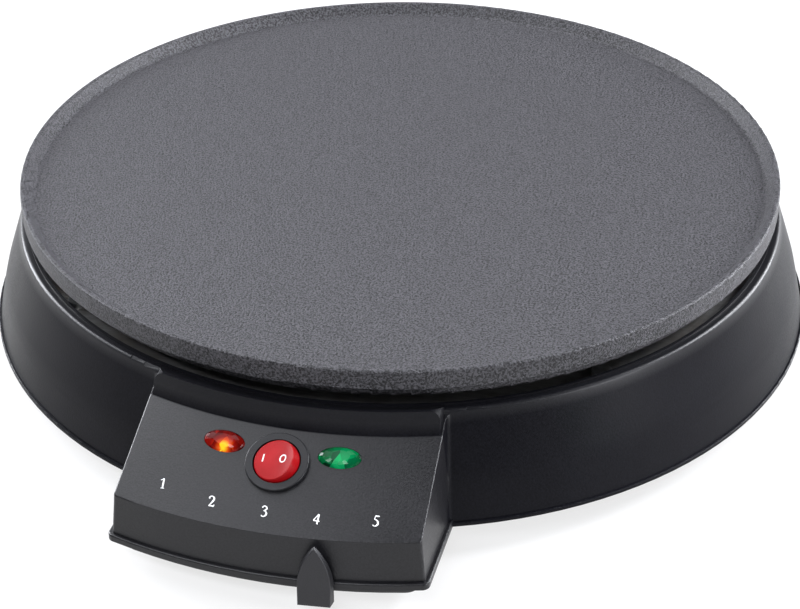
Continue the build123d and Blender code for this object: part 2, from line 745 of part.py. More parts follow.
arm_start_level = spindle_bottom + (hub_height - arm_gauge) / 2
knob_back = flange_radius + knob_gap
arm_side = at_rest(Plane(origin=(0, 0, 0), x_dir=(0, -1, 0), z_dir=(-1, 0, 0)))
knob_plane = at_rest(Plane.XZ.offset(knob_back))


def arm_strip(width, reach_from, reach_to):
    """A length of the lever's bent strip, cut between two distances from the spindle."""
    with BuildSketch(arm_side) as strip:
        with BuildLine():
            Polyline(
                (0, arm_start_level),
                (arm_joggle_start, arm_start_level),
                (arm_joggle_end, arm_level),
                (2 * knob_back, arm_level),
                (2 * knob_back, arm_level + arm_gauge),
                (arm_joggle_end, arm_level + arm_gauge),
                (arm_joggle_start, arm_start_level + arm_gauge),
                (0, arm_start_level + arm_gauge),
                close=True,
            )
        make_face()
        with Locations(((reach_from + reach_to) / 2, 0)):
            Rectangle(reach_to - reach_from, 2 * skirt_top, mode=Mode.INTERSECT)
    extrude(strip.sketch, amount=width / 2, both=True)


with BuildPart() as temperature_lever:
    pegs(Locations((0, 0)), hub_radius, spindle_bottom, hub_top)
    arm_strip(arm_width, 0, tongue_start)
    arm_strip(arm_tongue_width, tongue_start, knob_back + arm_tongue_length)
    pegs(Locations((0, 0)), spindle_radius + fit, spindle_bottom, hub_top, Mode.SUBTRACT)
temperature_lever.part.label = "temperature_lever"

arch_height = knob_tip - knob_shoulder
arch_radius = (arch_height**2 + knob_half_width**2) / (2 * knob_half_width)
arch_mid = arch_height / 2
arch_side = knob_half_width - arch_radius + sqrt(arch_radius**2 - arch_mid**2)
with BuildPart() as lever_knob:
    with BuildSketch(knob_plane):
        with BuildLine():
            Line((0, knob_bottom), (knob_half_width, knob_bottom))
            Line((knob_half_width, knob_bottom), (knob_half_width, knob_shoulder))
            ThreePointArc(
                (knob_half_width, knob_shoulder), (arch_side, knob_shoulder + arch_mid), (0, knob_tip)
            )
            mirror(about=Plane.YZ)
        make_face()
    extrude(amount=knob_thickness, taper=knob_taper)
    with BuildSketch(arm_side) as front_cut:
        with BuildLine():
            Polyline(
                (knob_back + knob_tip_thickness, knob_tip),
                (knob_back + knob_thickness, knob_bottom),
                (knob_back + 2 * knob_thickness, knob_bottom),
                (knob_back + 2 * knob_thickness, knob_tip),
                close=True,
            )
        make_face()
    extrude(amount=2 * knob_half_width, both=True, mode=Mode.SUBTRACT)
    leaning_face = lever_knob.faces().sort_by(Axis.Y)[0]
    fillet(leaning_face.edges(), knob_edge)
    with BuildSketch(knob_plane):
        with Locations((0, arm_level + arm_gauge / 2)):
            Rectangle(arm_tongue_width + 2 * fit, arm_gauge + 2 * fit)
    extrude(amount=arm_tongue_length + fit, mode=Mode.SUBTRACT)
lever_knob.part.label = "lever_knob"

# ---- switch: round body, dished rocker on a ball, see-saw contact and three blades --------
switch_plane = face_plane(0, switch_reach)
pivot_lift = collar_height - rocker_pivot_depth
pivot_plane = face_plane(0, switch_reach, pivot_lift)
well_radius = rocker_ball + rocker_gap
well_floor = pivot_lift - contact_drop - contact_length / 4
dish_radius = rocker_ball / sin(radians(rocker_tilt))


def tipped(plane, angle):
    """The plane turned about its own up-slope axis; a positive angle lifts the +X side."""
    turn = radians(angle)
    return Plane(
        origin=plane.origin,
        x_dir=plane.x_dir * cos(turn) + plane.z_dir * sin(turn),
        z_dir=plane.z_dir * cos(turn) - plane.x_dir * sin(turn),
    )


def side_view(plane):
    """The plane that looks up the slope: X across, Y out of the panel."""
    return Plane(origin=plane.origin, x_dir=plane.x_dir, z_dir=-plane.y_dir)


def disc(plane, radius, low, high, mode=Mode.ADD):
    """Round disc or hole square to a plane, between two heights over it."""
    with BuildSketch(plane.offset(low)) as section:
        Circle(radius)
    extrude(section.sketch, amount=high - low, mode=mode)


with BuildPart() as switch_body:
    disc(switch_plane, collar_radius, 0, collar_height)
    fillet(switch_body.edges().filter_by(GeomType.CIRCLE).sort_by(Axis.Z)[-1], collar_height / 3)
    disc(switch_plane, barrel_radius, -barrel_depth, 0)
    disc(switch_plane, well_radius, well_floor, collar_height, Mode.SUBTRACT)
    with BuildSketch(side_view(pivot_plane)):
        Circle(rocker_pin_radius + fit)
    extrude(amount=rocker_ball + rocker_pin_length + fit, both=True, mode=Mode.SUBTRACT)
    with BuildSketch(switch_plane.offset(-barrel_depth)):
        with Locations((0, 0)):
            Rectangle(tab_gauge + 2 * fit, tab_width + 2 * fit)
    extrude(amount=barrel_depth + well_floor, mode=Mode.SUBTRACT)
switch_body.part.label = "switch_body"

rocker_plane = tipped(pivot_plane, rocker_tilt)
with BuildPart() as switch_rocker:
    with Locations(rocker_plane.location):
        Sphere(rocker_ball)
    split(bisect_by=rocker_plane.offset(-rocker_belly), keep=Keep.TOP)
    with BuildSketch(side_view(rocker_plane)):
        with Locations((0, rocker_rise + dish_radius)):
            Circle(dish_radius)
    extrude(amount=2 * rocker_ball, both=True, mode=Mode.SUBTRACT)
    fillet(switch_rocker.edges().sort_by(lambda edge: -edge.length)[:1], rocker_edge)
    disc(rocker_plane, stem_radius, -stem_length, -rocker_belly)
    with BuildSketch(side_view(rocker_plane)):
        Circle(rocker_pin_radius)
    extrude(amount=rocker_ball + rocker_pin_length, both=True)
switch_rocker.part.label = "switch_rocker"

contact_plane = tipped(face_plane(0, switch_reach, pivot_lift - contact_drop), -contact_share * rocker_tilt)
with BuildPart() as switch_contact:
    with BuildSketch(contact_plane):
        Rectangle(contact_length, contact_width)
    extrude(amount=contact_gauge / 2, both=True)
switch_contact.part.label = "switch_contact"

fulcrum_top = pivot_lift - contact_drop - contact_gauge - fit
with BuildPart() as switch_blades:
    with BuildSketch(switch_plane.offset(-barrel_depth)):
        with Locations((-barrel_radius / 2, 0), (0, 0), (barrel_radius / 2, 0)):
            Rectangle(tab_gauge, tab_width)
    extrude(amount=-tab_length)
    with BuildSketch(switch_plane.offset(-barrel_depth)):
        Rectangle(tab_gauge, tab_width)
    extrude(amount=barrel_depth + fulcrum_top)
switch_blades.part.label = "switch_blades"

# ---- lenses, and the neon lamps in their holders behind them ------------------------------
lens_back = roof_drop + lens_flange


def lens(side):
    """Oval lens pushed through the panel from behind, with a bevelled crown."""
    plane = face_plane(side * lens_bearing, lens_reach)
    with BuildPart() as body:
        with BuildSketch(plane.offset(-lens_skirt)):
            Ellipse(lens_length / 2, lens_width / 2)
        extrude(amount=lens_skirt + lens_fit)
        with BuildSketch(plane.offset(lens_fit)):
            Ellipse(lens_length / 2, lens_width / 2)
        with BuildSketch(plane.offset(lens_proud)):
            Ellipse(lens_crown * lens_length / 2, lens_crown * lens_width / 2)
        loft()
        with BuildSketch(plane.offset(-lens_back - clear)):
            Ellipse(lens_length / 2 + lens_flange, lens_width / 2 + lens_flange)
        extrude(amount=lens_flange)
    return body


power_lens = lens(-1)
power_lens.part.label = "power_lens"
ready_lens = lens(1)
ready_lens.part.label = "ready_lens"

with BuildPart() as lamp_holders:
    for side in (-1, 1):
        lamp_plane = face_plane(side * lens_bearing, lens_reach)
        disc(lamp_plane, lamp_radius + fit + holder_wall, -lens_skirt - lamp_length, -lens_skirt)
        disc(lamp_plane, lamp_radius + fit, -lens_skirt - lamp_length, -lens_skirt, Mode.SUBTRACT)
lamp_holders.part.label = "lamp_holders"

with BuildPart() as neon_lamps:
    for side in (-1, 1):
        lamp_plane = face_plane(side * lens_bearing, lens_reach)
        disc(lamp_plane, lamp_radius, -lens_skirt - lamp_length, -lens_skirt - clear)
    fillet(neon_lamps.edges().filter_by(GeomType.CIRCLE).group_by(Axis.Z)[-1], lamp_radius / 2)
neon_lamps.part.label = "neon_lamps"

# ---- mains side: cord gland, terminal block and thermal fuse ------------------------------
collar_top = gland_height + gland_barrel + gland_collar_gauge
gland_inside = skirt_skin(collar_top) - gland_collar_gauge - 2 * clear
with BuildPart() as cord_gland:
    with BuildSketch(Plane.XZ.offset(-pad_face)):
        with Locations((0, gland_height)):
            Circle(gland_flange)
    extrude(amount=-gland_flange_gauge)
    with BuildSketch(Plane.XZ.offset(-pad_face - gland_flange_gauge)):
        with Locations((0, gland_height)):
            Circle(gland_barrel)
    extrude(amount=-gland_nose)
    fillet(cord_gland.edges().filter_by(GeomType.CIRCLE).group_by(Axis.Y)[-1], gland_edge)
    with BuildSketch(Plane.XZ.offset(-pad_face)):
        with Locations((0, gland_height)):
            Circle(gland_barrel)
    extrude(amount=pad_face - gland_inside)
    with BuildSketch(Plane.XZ.offset(-gland_inside - gland_collar_gauge)):
        with Locations((0, gland_height)):
            Circle(gland_barrel + gland_collar_gauge)
    extrude(amount=gland_collar_gauge)
    with BuildSketch(Plane.XZ.offset(-pad_face - gland_flange_gauge - gland_nose)):
        with Locations((0, gland_height)):
            Circle(gland_bore)
    extrude(amount=2 * pad_radius, mode=Mode.SUBTRACT)
cord_gland.part.label = "cord_gland"

block_foot = ledge_under - block_height
block_hole_level = ledge_under - block_height / 2
block_steps = (-block_length / 3, 0, block_length / 3)
with BuildPart() as terminal_block:
    with BuildSketch(Plane.XY.offset(block_foot)):
        with Locations((0, block_y)):
            RectangleRounded(block_length, block_width, lead_radius)
    extrude(amount=block_height)
    with BuildSketch(Plane.XZ.offset(-block_y + block_width / 2)):
        with Locations(*[(step, block_hole_level) for step in block_steps]):
            Circle(lead_radius + fit)
    extrude(amount=-block_width, mode=Mode.SUBTRACT)
    pegs(block_screw_places, screw_radius + fit, block_foot, ledge_under, Mode.SUBTRACT)
terminal_block.part.label = "terminal_block"

with BuildPart() as block_screws:
    pegs(block_screw_places, screw_head_radius, block_foot - screw_head_height, block_foot)
    pegs(block_screw_places, screw_radius, block_foot - screw_head_height / 2, ledge_top - 2 * clear)
block_screws.part.label = "block_screws"

fuse_level = shield_floor - fuse_radius - clear
fuse_x, fuse_y = fuse_place
with BuildPart() as thermal_fuse:
    with BuildSketch(Plane.XZ.offset(-fuse_y)):
        with Locations((fuse_x, fuse_level)):
            Circle(fuse_radius)
    extrude(amount=fuse_length / 2, both=True)
thermal_fuse.part.label = "thermal_fuse"

with BuildPart() as fuse_clip:
    with BuildSketch(Plane.XZ.offset(-fuse_y)):
        with Locations((fuse_x, fuse_level)):
            Circle(fuse_radius + fit + shield_gauge)
        with Locations((fuse_x, shield_floor - shield_gauge / 2)):
            Rectangle(2 * (fuse_radius + fit + shield_gauge + clip_foot), shield_gauge)
        with Locations((fuse_x, fuse_level)):
            Circle(fuse_radius + fit, mode=Mode.SUBTRACT)
        with Locations((fuse_x, shield_floor)):
            Rectangle(2 * (fuse_radius + fit), 2 * (fuse_radius + clear), mode=Mode.SUBTRACT)
        with Locations((fuse_x, shield_floor + fuse_radius)):
            Rectangle(4 * fuse_radius, 2 * fuse_radius, mode=Mode.SUBTRACT)
    extrude(amount=clip_width / 2, both=True)
fuse_clip.part.label = "fuse_clip"

tag_level = shield_floor - tag_gauge
with BuildPart() as earth_screw:
    pegs(earth_place, screw_head_radius, tag_level - screw_head_height, tag_level)
    pegs(earth_place, screw_radius, tag_level - screw_head_height / 2, shield_top + screw_head_height)
earth_screw.part.label = "earth_screw"

# ---- leads: straight runs with tangent bends between them ---------------------------------
blade_edge = tab_width / 2 * cos(radians(slope_angle))
blade_foot = Vector(*switch_plane.origin) - switch_plane.z_dir * (barrel_depth + tab_length)
switch_entry = blade_foot.Y + blade_edge + clear
block_entry = block_y - block_width / 4
block_exit = block_y - block_width / 2 - lead_entry


def lead(radius, *points):
    """Round wire through the given points, each corner eased as far as its runs allow."""
    stops = [Vector(*point) for point in points]
    bends = []
    for before, here, after in zip(stops, stops[1:], stops[2:]):
        run_in = here - before
        run_out = after - here
        half_turn = radians(run_in.get_angle(run_out) / 2)
        longest = bend_share * min(run_in.length, run_out.length)
        bends.append(min(longest / tan(half_turn), lead_bend))
    with BuildLine() as route:
        FilletPolyline(*stops, radius=bends)
    with BuildSketch(Plane(origin=stops[0], z_dir=stops[1] - stops[0])) as section:
        Circle(radius)
    sweep(section.sketch, path=route.wires()[0])


blade_tip = body_foot - tab_length - clear
pin_level = element_leg_end - end_length - pin_length / 2
first_pin = min(start_end.X, last_end.X)
second_pin = max(start_end.X, last_end.X)
pin_y = start_end.Y
with BuildPart() as live_leads:
    lead(
        lead_radius,
        (0, block_entry, block_hole_level),
        (0, block_exit, block_hole_level),
        (0, plate_boss_ring, lead_level),
        (0, fuse_y, lead_level),
        (-lead_side, lead_side, lead_level),
        (-lead_side, -plate_boss_ring, lead_level),
        (-barrel_radius / 2, switch_entry + 2 * lead_entry, switch_lead_level),
        (-barrel_radius / 2, switch_entry, switch_lead_level),
    )
    lead(
        lead_radius,
        (0, switch_entry, switch_lead_level),
        (0, switch_entry + 2 * lead_entry, switch_lead_level),
        (-blade_side, -plate_boss_ring + lead_side, lead_level),
        (-blade_side, -blade_reach, lead_level),
        (-blade_side, -blade_reach, blade_tip),
    )
    lead(
        lead_radius,
        (blade_side, blade_reach, blade_tip),
        (blade_side, blade_reach, lead_level),
        (fuse_x, fuse_y - fuse_length / 2 - 2 * lead_entry, fuse_level),
        (fuse_x, fuse_y - fuse_length / 2 - clear, fuse_level),
    )
    lead(
        lead_radius,
        (fuse_x, fuse_y + fuse_length / 2 + clear, fuse_level),
        (fuse_x, fuse_y + fuse_length / 2 + lead_entry, fuse_level),
        (second_pin, pin_y - 2 * lead_entry, pin_level),
        (second_pin, pin_y - pin_radius - clear, pin_level),
    )
live_leads.part.label = "live_leads"

with BuildPart() as neutral_lead:
    lead(
        lead_radius,
        (block_steps[0], block_entry, block_hole_level),
        (block_steps[0], block_exit, block_hole_level),
        (first_pin, plate_boss_ring - lead_entry, pin_level),
        (first_pin, pin_y + pin_radius + clear, pin_level),
    )
neutral_lead.part.label = "neutral_lead"

tag_x = plate_boss_ring * sin(radians(earth_bearing))
tag_y = -plate_boss_ring * cos(radians(earth_bearing))
with BuildPart() as earth_lead:
    lead(
        lead_radius,
        (block_steps[2], block_entry, block_hole_level),
        (block_steps[2], block_exit, block_hole_level),
        (tag_x - screw_head_radius - lead_entry, tag_y, tag_level - lead_radius / 2),
        (tag_x - screw_head_radius - clear, tag_y, tag_level - lead_radius / 2),
    )
    pegs(earth_place, tag_radius, tag_level, shield_floor)
    pegs(earth_place, screw_radius + fit, tag_level, shield_floor, Mode.SUBTRACT)
earth_lead.part.label = "earth_lead"

lamp_end = -lens_skirt - lamp_length - clear


def lamp_point(side, across, below):
    """Point behind a lamp: across towards the panel's side, and below its end."""
    plane = face_plane(side * lens_bearing, lens_reach)
    return plane.origin + plane.x_dir * (side * across) + plane.z_dir * (lamp_end - below)


link_y = switch_entry + 2 * lead_entry
link_level = (lead_level + shield_floor) / 2 - lead_radius
with BuildPart() as lamp_leads:
    lead(
        lamp_lead_radius,
        lamp_point(-1, lead_radius, 0),
        lamp_point(-1, lead_radius, 2 * lead_radius),
        (-collar_radius, link_y, link_level),
        (collar_radius, link_y, link_level),
        lamp_point(1, lead_radius, 2 * lead_radius),
        lamp_point(1, lead_radius, 0),
    )
    lead(
        lamp_lead_radius,
        lamp_point(1, -lead_radius, 0),
        lamp_point(1, -lead_radius, 2 * lead_radius),
        (barrel_radius / 2, switch_entry + lead_entry, switch_lead_level),
        (barrel_radius / 2, switch_entry, switch_lead_level),
    )
lamp_leads.part.label = "lamp_leads"

pieces = [
    griddle_plate, housing, base_cover, base_screws, rubber_feet, heating_element, element_ends,
    heat_shield, plate_spacers, plate_screws, shield_screws, thermostat_bracket, bracket_screws,
    thermostat_body, thermostat_blades, thermostat_spindle, lever_screw, temperature_lever,
    lever_knob, switch_body, switch_rocker, switch_contact, switch_blades, power_lens, ready_lens,
    lamp_holders, neon_lamps, cord_gland, terminal_block, block_screws, thermal_fuse, fuse_clip,
    earth_screw, live_leads, neutral_lead, earth_lead, lamp_leads,
]

# ---- set down: the middle of the footprint goes to the origin -----------------------------
rear_end = cord_gland.part.bounding_box().max.Y
front_end = lever_knob.part.bounding_box().min.Y
seat = Location((0, -(front_end + rear_end) / 2, 0))

os.makedirs("parts", exist_ok=True)
for piece in pieces:
    export_step(piece.part.moved(seat), f"parts/{piece.part.label}.step")
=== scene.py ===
import math

import bmesh
import bpy
from mathutils import Matrix, Vector


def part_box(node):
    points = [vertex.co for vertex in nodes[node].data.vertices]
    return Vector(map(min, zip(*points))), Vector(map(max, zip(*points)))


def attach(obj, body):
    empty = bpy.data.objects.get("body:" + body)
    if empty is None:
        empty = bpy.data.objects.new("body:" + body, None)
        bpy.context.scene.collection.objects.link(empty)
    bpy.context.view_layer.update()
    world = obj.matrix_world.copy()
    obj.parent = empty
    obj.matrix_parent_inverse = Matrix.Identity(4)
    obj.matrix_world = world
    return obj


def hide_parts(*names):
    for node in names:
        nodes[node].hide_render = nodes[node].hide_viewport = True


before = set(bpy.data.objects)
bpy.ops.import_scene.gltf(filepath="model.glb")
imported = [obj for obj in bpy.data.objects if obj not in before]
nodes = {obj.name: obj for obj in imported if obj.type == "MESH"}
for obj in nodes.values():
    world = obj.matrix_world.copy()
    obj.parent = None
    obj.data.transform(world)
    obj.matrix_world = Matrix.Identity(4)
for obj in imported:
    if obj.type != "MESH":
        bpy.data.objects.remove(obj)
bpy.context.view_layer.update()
plateLow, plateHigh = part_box("griddle_plate")
axisY = (plateLow.y + plateHigh.y) / 2  # the plate turns about x 0 and this y
print("frame loaded:", len(nodes), "nodes")


# camera and light first, then finishes, then pieces
# the camera stands at distance, elevation and swing from the middle of the plate's top; yaw, pitch and roll aim it
cameraView = dict(distance=0.9, elevation=28.75, swing=14.47, yaw=-0.03, pitch=32.40, roll=-0.41,
                  lens=101.5, sensor=36.0)


def makeCamera(view):
    height = math.radians(view["elevation"])
    swing = math.radians(view["swing"])
    reach = view["distance"] * math.cos(height)
    place = Vector((
        reach * math.sin(swing),
        axisY - reach * math.cos(swing),
        plateHigh.z + view["distance"] * math.sin(height),
    ))
    data = bpy.data.cameras.new("camera")
    data.lens = view["lens"]
    data.sensor_width = view["sensor"]
    camera = bpy.data.objects.new("camera", data)
    bpy.context.scene.collection.objects.link(camera)
    camera.matrix_world = (
        Matrix.Translation(place)
        @ Matrix.Rotation(swing - math.radians(view["yaw"]), 4, "Z")
        @ Matrix.Rotation(math.radians(90 - view["pitch"]), 4, "X")
        @ Matrix.Rotation(math.radians(view["roll"]), 4, "Z")
    )
    bpy.context.scene.camera = camera


lamps = dict(
    top=dict(at=(-0.7, 0.45, 1.5), wide=1.9, tall=1.9, power=33.0),
    left=dict(at=(-1.6, 0.6, 0.65), wide=0.5, tall=1.1, power=48.0),
    backRight=dict(at=(1.22, 1.02, 0.3), wide=0.7, tall=0.55, power=30.0),
    right=dict(at=(1.25, 0.7, 0.98), wide=0.5, tall=0.5, power=40.0),
    rightFront=dict(at=(1.6, -0.5, 0.5), wide=0.5, tall=0.9, power=18.0),
    front=dict(at=(-0.38, -1.2, 1.45), wide=1.7, tall=0.3, power=27.0),
)
lampColour = (0.93, 0.95, 1.0)
lampAim = Vector((0, axisY, 0.05))
surroundings = dict(colour=(0.95, 0.95, 1.0), strength=0.12)


def makeStudio():
    for name, lamp in lamps.items():
        data = bpy.data.lights.new(name, "AREA")
        data.shape = "RECTANGLE"
        data.size = lamp["wide"]
        data.size_y = lamp["tall"]
        data.energy = lamp["power"]
        data.color = lampColour
        light = bpy.data.objects.new(name, data)
        light.location = lamp["at"]
        light.rotation_euler = (lampAim - light.location).to_track_quat("-Z", "Y").to_euler()
        bpy.context.scene.collection.objects.link(light)
    world = bpy.data.worlds.new("surroundings")
    world.use_nodes = True
    sky = world.node_tree.nodes["Background"]
    sky.inputs["Color"].default_value = (*surroundings["colour"], 1)
    sky.inputs["Strength"].default_value = surroundings["strength"]
    bpy.context.scene.world = world
    bpy.context.scene.view_settings.view_transform = "Standard"


makeCamera(cameraView)
makeStudio()
print("camera and lights made")


class Signal:
    # a socket that can be used in sums
    def __init__(self, finish, socket):
        self.finish = finish
        self.socket = socket

    def maths(self, operation, left, right):
        return self.finish.node("ShaderNodeMath", {"operation": operation}, {0: left, 1: right})

    def __add__(self, other):
        return self.maths("ADD", self, other)

    def __sub__(self, other):
        return self.maths("SUBTRACT", self, other)

    def __rsub__(self, other):
        return self.maths("SUBTRACT", other, self)

    def __mul__(self, other):
        return self.maths("MULTIPLY", self, other)

    def __gt__(self, other):
        return self.maths("GREATER_THAN", self, other)

    __radd__ = __add__
    __rmul__ = __mul__


noiseBand = (0.3, 0.7)  # a noise seldom leaves it


class Finish:
    # one material: constants go straight on the shader, what varies is fed in
    def __init__(self, name, **constants):
        self.material = bpy.data.materials.new(name)
        self.material.use_nodes = True
        self.tree = self.material.node_tree
        self.tree.nodes.clear()
        self.shader = self.tree.nodes.new("ShaderNodeBsdfPrincipled")
        self.output = self.tree.nodes.new("ShaderNodeOutputMaterial")
        self.tree.links.new(self.shader.outputs[0], self.output.inputs[0])
        for socket, value in constants.items():
            self.shader.inputs[socket.replace("_", " ")].default_value = value
        self.place = self.node("ShaderNodeTexCoord", {}, {}, "Object")

    def node(self, kind, settings, sockets, output=0):
        made = self.tree.nodes.new(kind)
        for name, value in settings.items():
            if name == "stops":
                for step, (position, colour) in enumerate(value):
                    stop = made.color_ramp.elements[step] if step < 2 else made.color_ramp.elements.new(position)
                    stop.position = position
                    stop.color = (*colour, 1)
            else:
                setattr(made, name, value)
        for name, value in sockets.items():
            if isinstance(value, Signal):
                self.tree.links.new(value.socket, made.inputs[name])
            else:
                made.inputs[name].default_value = value
        return Signal(self, made.outputs[output])

    def noise(self, scale, place=None, detail=2.0):
        sockets = {"Vector": place or self.place, "Scale": scale, "Detail": detail}
        return self.node("ShaderNodeTexNoise", {}, sockets)

    def cells(self, scale, output="Distance", place=None):
        return self.node("ShaderNodeTexVoronoi", {}, {"Vector": place or self.place, "Scale": scale}, output)

    def moved(self, shift=(0, 0, 0), stretch=(1, 1, 1)):
        sockets = {"Vector": self.place, "Location": shift, "Scale": stretch}
        return self.node("ShaderNodeMapping", {}, sockets)

    def blend(self, share, first, second):
        first = first if isinstance(first, Signal) else (*first, 1)
        sockets = {0: share, 6: first, 7: (*second, 1)}  # the colour mix has its sockets at 6 and 7
        return self.node("ShaderNodeMix", {"data_type": "RGBA"}, sockets, 2)

    def ramp(self, share, *stops):
        return self.node("ShaderNodeValToRGB", {"stops": stops}, {"Fac": share})

    def span(self, value, low, high, newLow, newHigh):
        sockets = {"Value": value, 1: low, 2: high, 3: newLow, 4: newHigh}
        return self.node("ShaderNodeMapRange", {"clamp": True}, sockets)

    def fill(self, value, band=noiseBand):
        return self.span(value, *band, 0.0, 1.0)

    def sheen(self, value, look, band=noiseBand):
        return self.span(value, *band, look["smooth"], look["rough"])

    def feed(self, socket, value):
        self.tree.links.new(value.socket, self.shader.inputs[socket])

    def relief(self, height, distance):
        self.feed("Normal", self.node("ShaderNodeBump", {}, {"Height": height, "Distance": distance}))


def tintAndDull(finish, tint, dullness, look):
    finish.feed("Base Color", finish.blend(tint, look["dark"], look["light"]))
    finish.feed("Roughness", dullness)


# what every moulded plastic shares, unless its own look says otherwise
mouldedLook = dict(clouds=22.0, cloudBand=(0.35, 0.65), cloudShare=0.25, sheenBand=(0.75, 1.25), gloss=0.5)


def mouldedGrain(finish, look):
    # fine grain with faint clouds, as shade, and the change of sheen that goes with them
    grain = finish.noise(look["grain"], detail=3.0)
    clouds = finish.noise(look["clouds"])
    cloudShare = look["cloudShare"]
    shade = finish.fill(grain) * (1 - cloudShare) + finish.fill(clouds, look["cloudBand"]) * cloudShare
    return grain, shade, finish.sheen(grain + clouds, look, look["sheenBand"])


def mouldedPlastic(name, ownLook):
    # satin plastic from a spark-eroded mould
    look = {**mouldedLook, **ownLook}
    finish = Finish(name, Specular_IOR_Level=look["gloss"])
    grain, shade, dullness = mouldedGrain(finish, look)
    tintAndDull(finish, shade, dullness, look)
    finish.relief(grain, look["depth"])
    return finish.material


def housingPlastic(name, ownLook):
    # one moulding: a matt dark skirt with a rubbed crest, and a control panel in a glossier copy of the same
    # plastic whose lighter colour is painted light
    look = {**mouldedLook, **ownLook}
    finish = Finish(name, Specular_IOR_Level=look["gloss"], Coat_Roughness=look["crestRough"])
    grain, shade, dullness = mouldedGrain(finish, look)
    height = finish.node("ShaderNodeSeparateXYZ", {}, {"Vector": finish.place}, "Z")
    tintAndDull(finish, shade, dullness, look)
    finish.feed("Coat Weight", finish.span(height, *look["crestHeights"], 0.0, look["crestShine"]))
    finish.relief(grain, look["depth"])
    skirt = Signal(finish, finish.shader.outputs[0])

    # the panel's shader: the same plastic, its colour painted lighter as painted light
    finish.shader = finish.tree.nodes.new("ShaderNodeBsdfPrincipled")
    finish.shader.inputs["Specular IOR Level"].default_value = look["panelGloss"]
    tintAndDull(finish, shade, dullness, look["panel"])
    finish.relief(grain, look["panelDepth"])
    panel = Signal(finish, finish.shader.outputs[0])

    # the panel's painted-lighter copy lies beyond the leaning skirt and beyond its own short back wall
    level = finish.moved(shift=(0, -axisY, 0), stretch=(1, 1, 0))
    reach = finish.node("ShaderNodeVectorMath", {"operation": "LENGTH"}, {0: level}, "Value")
    beyondSkirt = finish.fill(reach + height * look["lean"], look["skirtReach"])
    beyondRiser = finish.fill(reach, look["riserReach"])
    mixed = finish.node("ShaderNodeMixShader", {}, {0: beyondSkirt * beyondRiser, 1: skirt, 2: panel})
    finish.tree.links.new(mixed.socket, finish.output.inputs[0])
    return finish.material


def plateCoat(name, look):
    # non-stick coat over a cast plate: a fine grain of black and grey specks, and a pebbled skin
    finish = Finish(name, Specular_IOR_Level=look["gloss"])
    grain = finish.noise(look["grain"])
    specks = finish.cells(look["specks"], "Color")
    clouds = finish.noise(look["clouds"], detail=3.0)
    speckShare = look["speckShare"]
    mixed = (finish.span(grain, *look["grainBand"], 0.0, 1 - speckShare)
             + finish.span(specks, *look["speckBand"], 0.0, speckShare))
    base = finish.blend(mixed, look["dark"], look["light"])
    fade = finish.span(clouds, *look["fadeBand"], 0.0, look["fade"])
    finish.feed("Base Color", finish.blend(fade, base, look["worn"]))
    finish.feed("Roughness", finish.sheen(grain, look))
    finish.relief(mixed, look["depth"])
    return finish.material


# what every metal shares, unless its own look says otherwise
metalLook = dict(stretch=(1, 1, 1), clouds=60.0, stain=0.4, stainBand=(0.4, 0.75), sheenBand=(0.7, 1.3),
                 pits=900.0, pitRadius=0.25, pitDepth=0.4)


def metal(name, ownLook):
    # rolled, turned or drawn metal: streaks along one way, clouds of dullness, small pits
    look = {**metalLook, **ownLook}
    finish = Finish(name, Metallic=1.0)
    streaks = finish.noise(look["streaks"], finish.moved(stretch=look["stretch"]), detail=3.0)
    clouds = finish.noise(look["clouds"], detail=3.0)
    stain = finish.span(clouds, *look["stainBand"], 0.0, look["stain"])
    shine = finish.blend(finish.fill(streaks), look["dark"], look["light"])
    finish.feed("Base Color", finish.blend(stain, shine, look["stainColour"]))
    finish.feed("Roughness", finish.sheen(streaks + clouds, look, look["sheenBand"]))
    pits = finish.span(finish.cells(look["pits"]), 0.0, look["pitRadius"], 0.0, look["pitDepth"])
    finish.relief(streaks + pits, look["depth"])
    return finish.material


# what every dull stuff shares
dullLook = dict(gloss=0.35, pitRadius=0.3)


def dull(name, ownLook):
    # ceramic, rubber and insulation: matt, mottled, lightly pitted
    look = {**dullLook, **ownLook}
    finish = Finish(name, Specular_IOR_Level=look["gloss"])
    mottle = finish.noise(look["mottle"], detail=4.0)
    tintAndDull(finish, finish.fill(mottle), finish.sheen(mottle, look), look)
    finish.relief(mottle + finish.fill(finish.cells(look["pits"]), (0.0, look["pitRadius"])), look["depth"])
    return finish.material


blackPlastic = housingPlastic("satinBlackPlastic", dict(
    grain=1500.0, dark=(0.002, 0.002, 0.003), light=(0.0065, 0.0065, 0.009), gloss=0.09,
    smooth=0.3, rough=0.42, depth=0.00004,
    crestHeights=(0.0475, 0.0515), crestShine=0.45, crestRough=0.4,
    # the panel's colours are the skirt's plastic painted lighter: painted light
    panel=dict(dark=(0.0015, 0.0015, 0.0022), light=(0.011, 0.0107, 0.013)), panelGloss=0.38, panelDepth=0.00007,
    lean=0.325, skirtReach=(0.16825, 0.16925), riserReach=(0.1589, 0.1593)))
panelPlastic = mouldedPlastic("finePanelPlastic", dict(
    grain=2300.0, dark=(0.006, 0.006, 0.0075), light=(0.018, 0.0175, 0.0205), gloss=0.45,
    smooth=0.38, rough=0.54, depth=0.00004))
coverPlastic = mouldedPlastic("coarseBlackPlastic", dict(
    grain=1200.0, dark=(0.012, 0.012, 0.013), light=(0.024, 0.024, 0.026), smooth=0.42, rough=0.62, depth=0.00006))
switchPlastic = mouldedPlastic("switchBlackPlastic", dict(
    grain=3000.0, dark=(0.005, 0.005, 0.006), light=(0.012, 0.012, 0.014), gloss=0.3,
    smooth=0.3, rough=0.42, depth=0.00003))
nonStick = plateCoat("speckledNonStick", dict(
    grain=1300.0, grainBand=(0.42, 0.58), specks=1500.0, speckBand=(0.1, 0.9), speckShare=0.3, gloss=0.35,
    dark=(0.001, 0.001, 0.0015), light=(0.076, 0.074, 0.082), smooth=0.42, rough=0.6, depth=0.0002,
    clouds=14.0, worn=(0.035, 0.034, 0.038), fade=0.06, fadeBand=(0.4, 0.7)))
